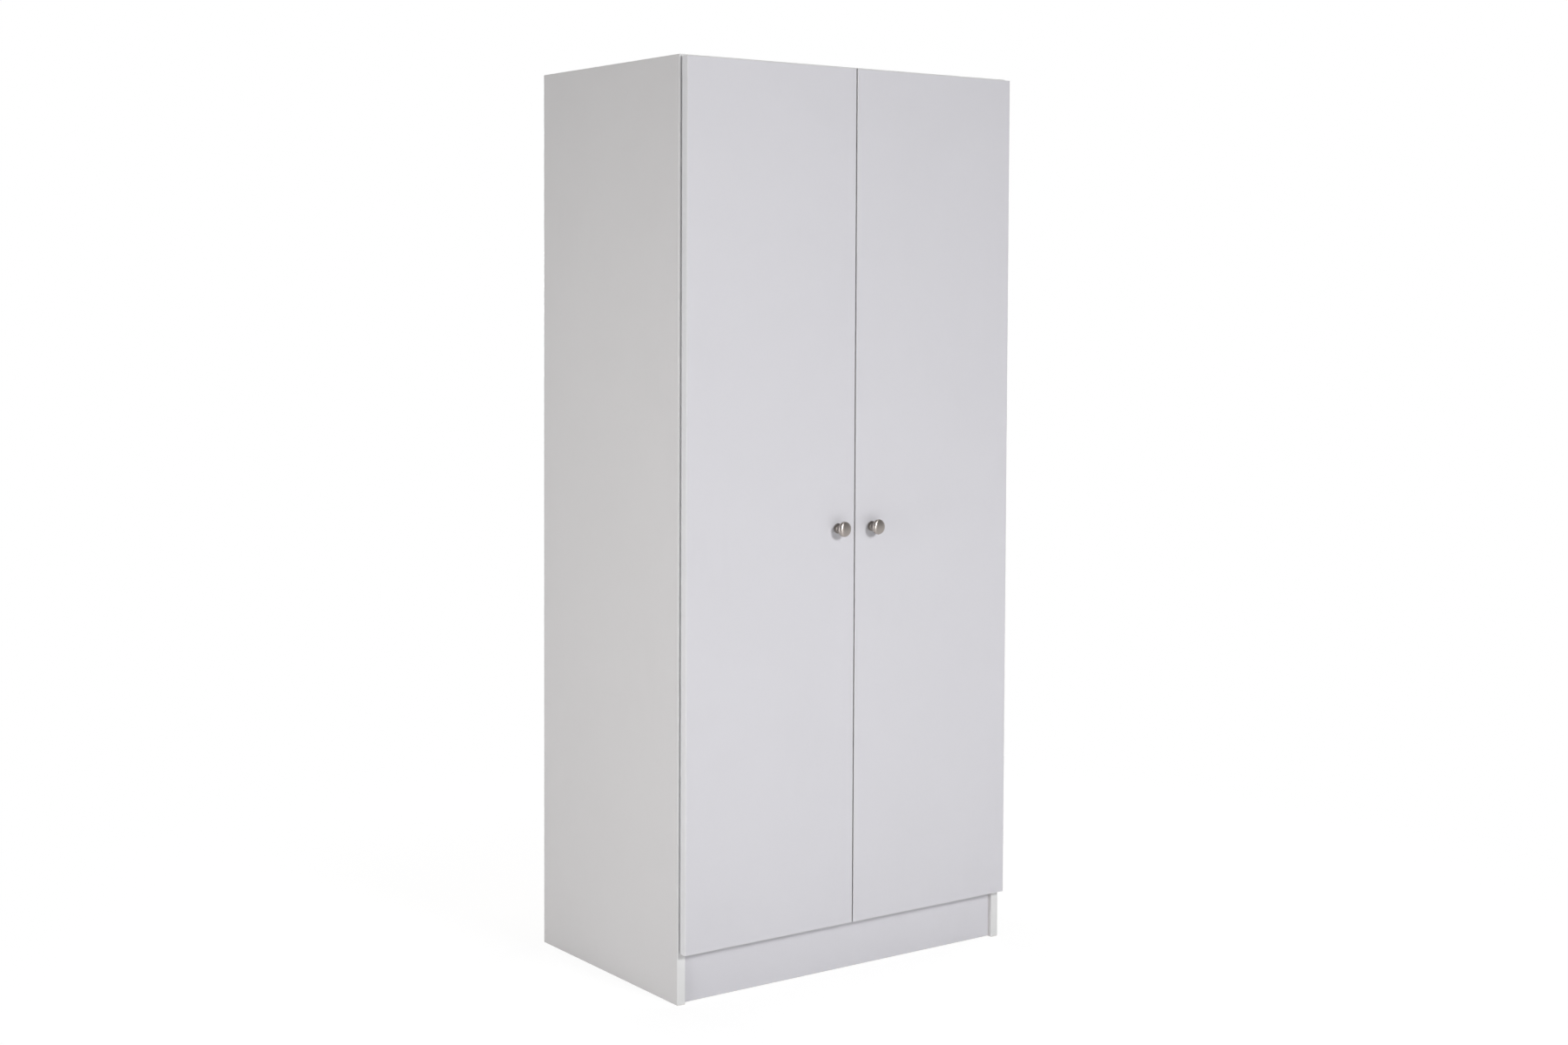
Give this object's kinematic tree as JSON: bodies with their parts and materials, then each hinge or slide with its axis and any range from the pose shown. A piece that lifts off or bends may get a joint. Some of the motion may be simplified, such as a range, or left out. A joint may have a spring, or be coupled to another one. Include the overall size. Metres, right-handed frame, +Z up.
{
  "type": "wardrobe with doors",
  "caption": "Tall free-standing wardrobe of pale boards with a pair of hinged doors, round metal knobs, a recessed plinth, a hat shelf and a hanging rail.",
  "frame": {"origin": "on the floor under the middle of the whole object, knobs included", "axes": "+Z up, +Y from the doors to the back, +X to the right seen from the front"},
  "size_m": [0.81, 0.5534, 1.8],
  "materials": {
    "front_board": "satin pale grey-white melamine facing with matching edge band",
    "carcase_board": "satin pale grey-white melamine facing with matching edge band",
    "back_board": "thin hardboard, white lacquer on its inner face and bare fibre behind",
    "strip_plastic": "extruded white plastic",
    "knob_metal": "turned and satin-brushed nickel",
    "hinge_steel": "nickel-plated pressed steel",
    "rail_metal": "bright plated tube",
    "fastener_steel": "zinc-plated steel",
    "buffer_plastic": "soft translucent plastic"
  },
  "bodies": {
    "carcase": {"top_panel": "carcase_board", "bottom_panel": "carcase_board", "hat_shelf": "carcase_board", "plinth_front": "front_board", "plinth_rear": "carcase_board", "back_joining_strip": "strip_plastic", "hanging_rail": "rail_metal", "side_panel_left": "carcase_board", "back_panel_left": "back_board", "rail_socket_left": "rail_metal", "shelf_pin_left_front": "fastener_steel", "shelf_pin_left_back": "fastener_steel", "hinge_arm_left_bottom": "hinge_steel", "hinge_plate_left_bottom": "hinge_steel", "hinge_arm_left_middle": "hinge_steel", "hinge_plate_left_middle": "hinge_steel", "hinge_arm_left_top": "hinge_steel", "hinge_plate_left_top": "hinge_steel", "side_panel_right": "carcase_board", "back_panel_right": "back_board", "rail_socket_right": "rail_metal", "shelf_pin_right_front": "fastener_steel", "shelf_pin_right_back": "fastener_steel", "hinge_arm_right_bottom": "hinge_steel", "hinge_plate_right_bottom": "hinge_steel", "hinge_arm_right_middle": "hinge_steel", "hinge_plate_right_middle": "hinge_steel", "hinge_arm_right_top": "hinge_steel", "hinge_plate_right_top": "hinge_steel"},
    "door_left": {"door_left": "front_board", "knob_left": "knob_metal", "knob_screw_left": "fastener_steel", "door_buffer_left_bottom": "buffer_plastic", "door_buffer_left_top": "buffer_plastic", "hinge_cup_left_bottom": "hinge_steel", "hinge_pin_left_bottom": "hinge_steel", "hinge_cup_left_middle": "hinge_steel", "hinge_pin_left_middle": "hinge_steel", "hinge_cup_left_top": "hinge_steel", "hinge_pin_left_top": "hinge_steel"},
    "door_right": {"door_right": "front_board", "knob_right": "knob_metal", "knob_screw_right": "fastener_steel", "door_buffer_right_bottom": "buffer_plastic", "door_buffer_right_top": "buffer_plastic", "hinge_cup_right_bottom": "hinge_steel", "hinge_pin_right_bottom": "hinge_steel", "hinge_cup_right_middle": "hinge_steel", "hinge_pin_right_middle": "hinge_steel", "hinge_cup_right_top": "hinge_steel", "hinge_pin_right_top": "hinge_steel"}
  },
  "joints": [
    {"name": "door_left_hinge", "type": "hinge", "parent": "carcase", "child": "door_left", "pos_m": [-0.39428, -0.23755, 0.948], "axis": [0, 0, -1], "range_deg": [0, 100]},
    {"name": "door_right_hinge", "type": "hinge", "parent": "carcase", "child": "door_right", "pos_m": [0.39428, -0.23755, 0.948], "axis": [0, 0, 1], "range_deg": [0, 100]}
  ]
}
